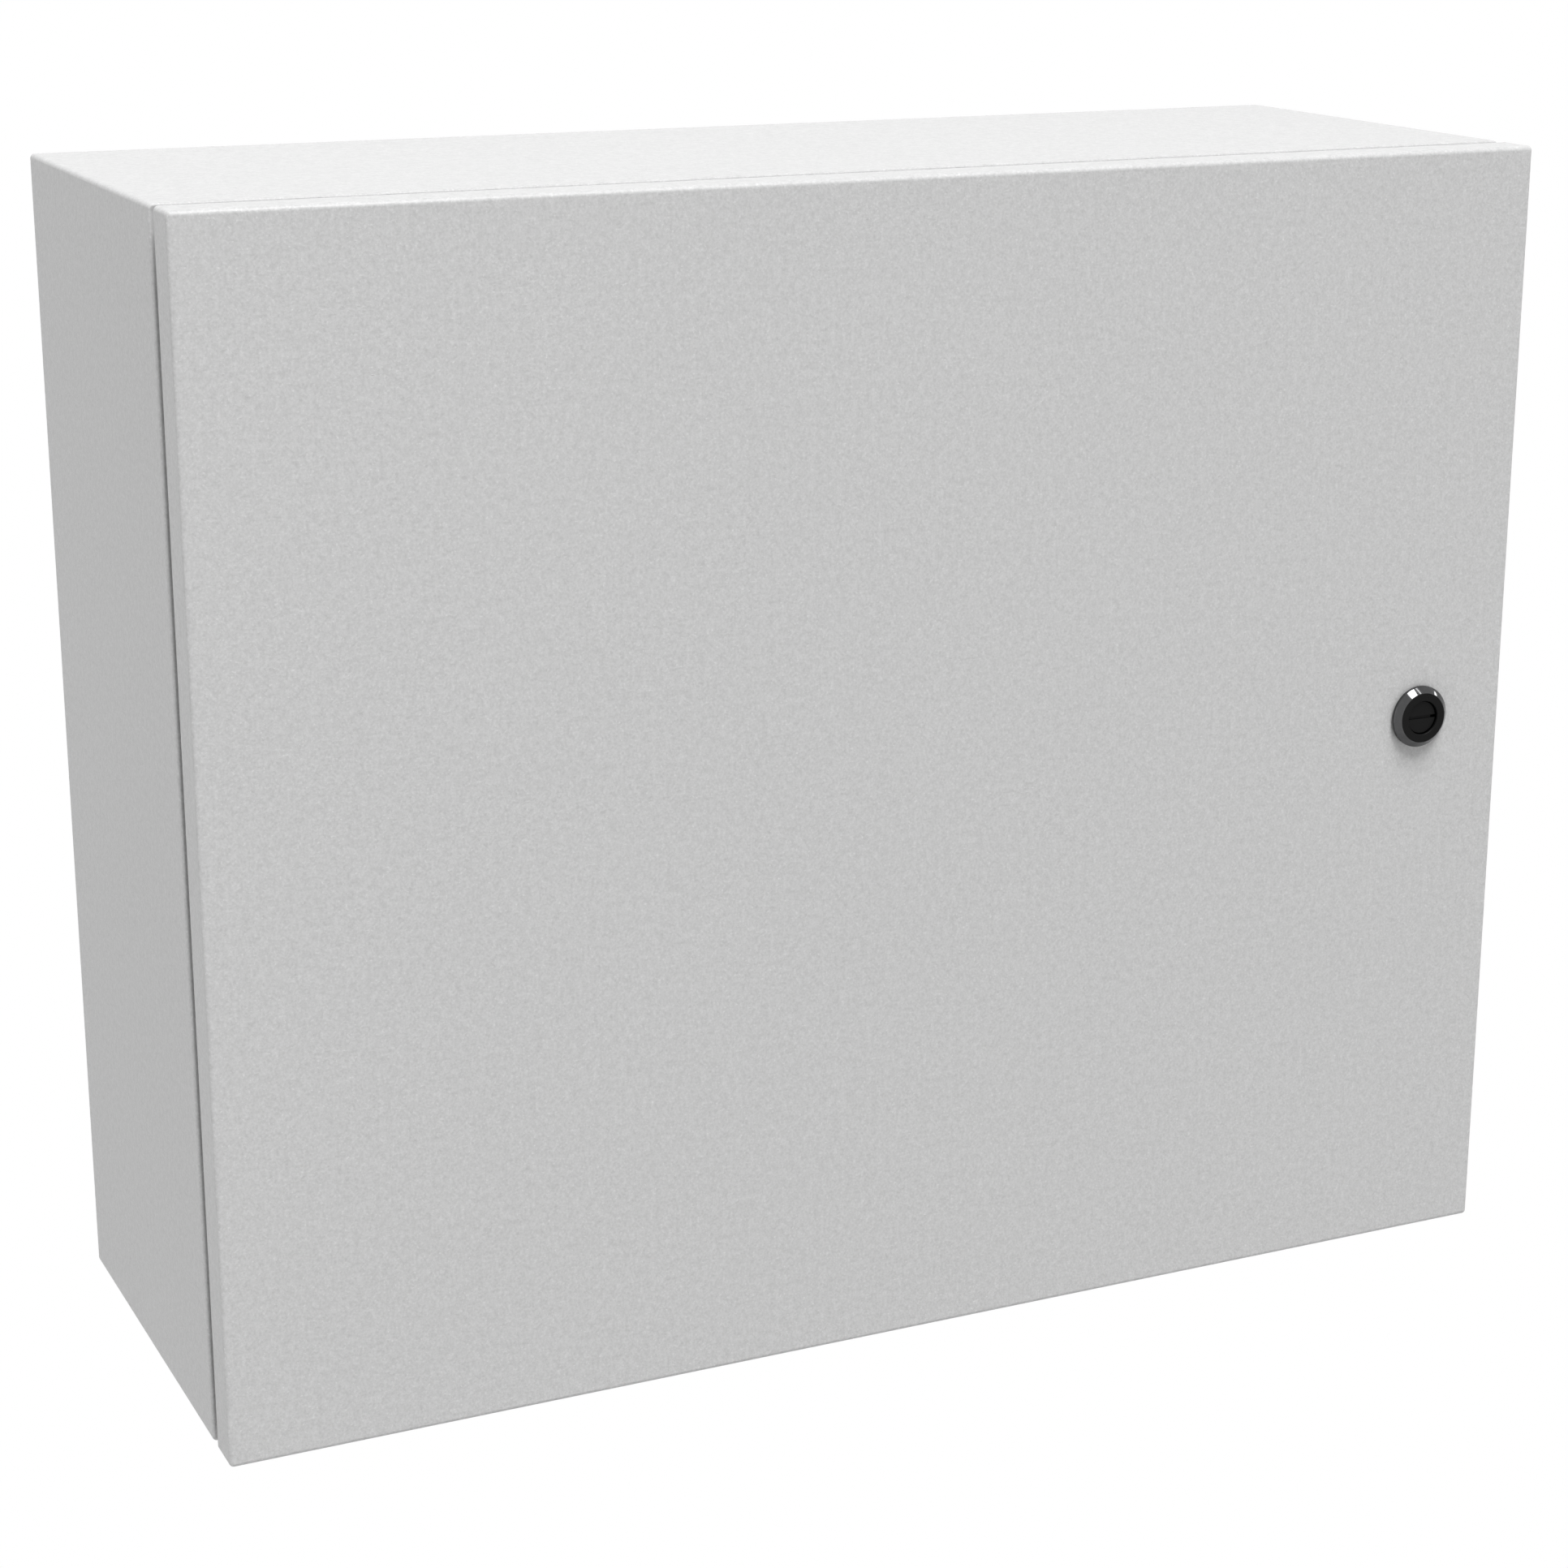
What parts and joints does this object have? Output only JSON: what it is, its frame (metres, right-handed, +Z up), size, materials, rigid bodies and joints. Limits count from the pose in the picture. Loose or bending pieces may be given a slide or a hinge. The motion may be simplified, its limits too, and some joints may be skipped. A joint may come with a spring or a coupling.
{
  "type": "wall-mount controller cabinet",
  "caption": "Wall-mount sheet-steel controller cabinet with a gasketed door on concealed hinges, a slotted quarter-turn latch, an inner mounting plate and a gland plate in its floor.",
  "frame": {"origin": "middle of the four wall fixing holes, on the outer rear face that lies against the wall", "axes": "+X to the right seen from the front, +Y into the wall, +Z up"},
  "size_m": [0.6, 0.2258, 0.5],
  "materials": {
    "powder_coat": "light grey textured powder coat",
    "zinc_sheet": "galvanised sheet with a faint spangle",
    "zinc_steel": "bright zinc plated steel",
    "stud_steel": "copper flashed weld stud",
    "gasket_foam": "dark grey foamed polyurethane",
    "black_rubber": "black rubber",
    "bezel_chrome": "dark chrome plate",
    "black_plastic": "satin black moulded plastic",
    "black_rotor": "black coated die casting"
  },
  "bodies": {
    "cabinet": {"cabinet_body": "powder_coat", "hinge_bracket_upper": "powder_coat", "hinge_bracket_lower": "powder_coat", "hinge_pin_upper": "zinc_steel", "hinge_pin_lower": "zinc_steel", "mounting_plate": "zinc_sheet", "plate_studs": "stud_steel", "plate_spacers": "zinc_steel", "plate_washers": "zinc_steel", "plate_nuts": "zinc_steel", "gland_plate": "powder_coat", "gland_gasket": "black_rubber", "gland_studs": "stud_steel", "gland_nuts": "zinc_steel", "earth_stud": "stud_steel", "earth_washer": "zinc_steel", "earth_nut": "zinc_steel"},
    "door": {"door_panel": "powder_coat", "door_gasket": "gasket_foam", "hinge_leaf_upper": "powder_coat", "hinge_leaf_lower": "powder_coat", "door_rail_left": "powder_coat", "door_rail_right": "powder_coat", "latch_housing": "bezel_chrome", "latch_face_ring": "black_plastic", "latch_seal": "black_rubber", "latch_nut": "zinc_steel", "door_earth_stud": "stud_steel", "door_earth_washer": "zinc_steel", "door_earth_nut": "zinc_steel"},
    "latch": {"latch_rotor": "black_rotor", "rotor_seal": "black_rubber", "rotor_circlip": "zinc_steel", "latch_cam": "zinc_steel", "cam_washer": "zinc_steel", "cam_screw": "zinc_steel"}
  },
  "joints": [
    {"name": "door_hinge", "type": "hinge", "parent": "cabinet", "child": "door", "pos_m": [-0.2935, -0.2085, 0], "axis": [0, 0, -1], "range_deg": [0, 115]},
    {"name": "latch_turn", "type": "hinge", "parent": "door", "child": "latch", "pos_m": [0.2555, -0.21, 0], "axis": [0, -1, 0], "range_deg": [0, 90]}
  ]
}
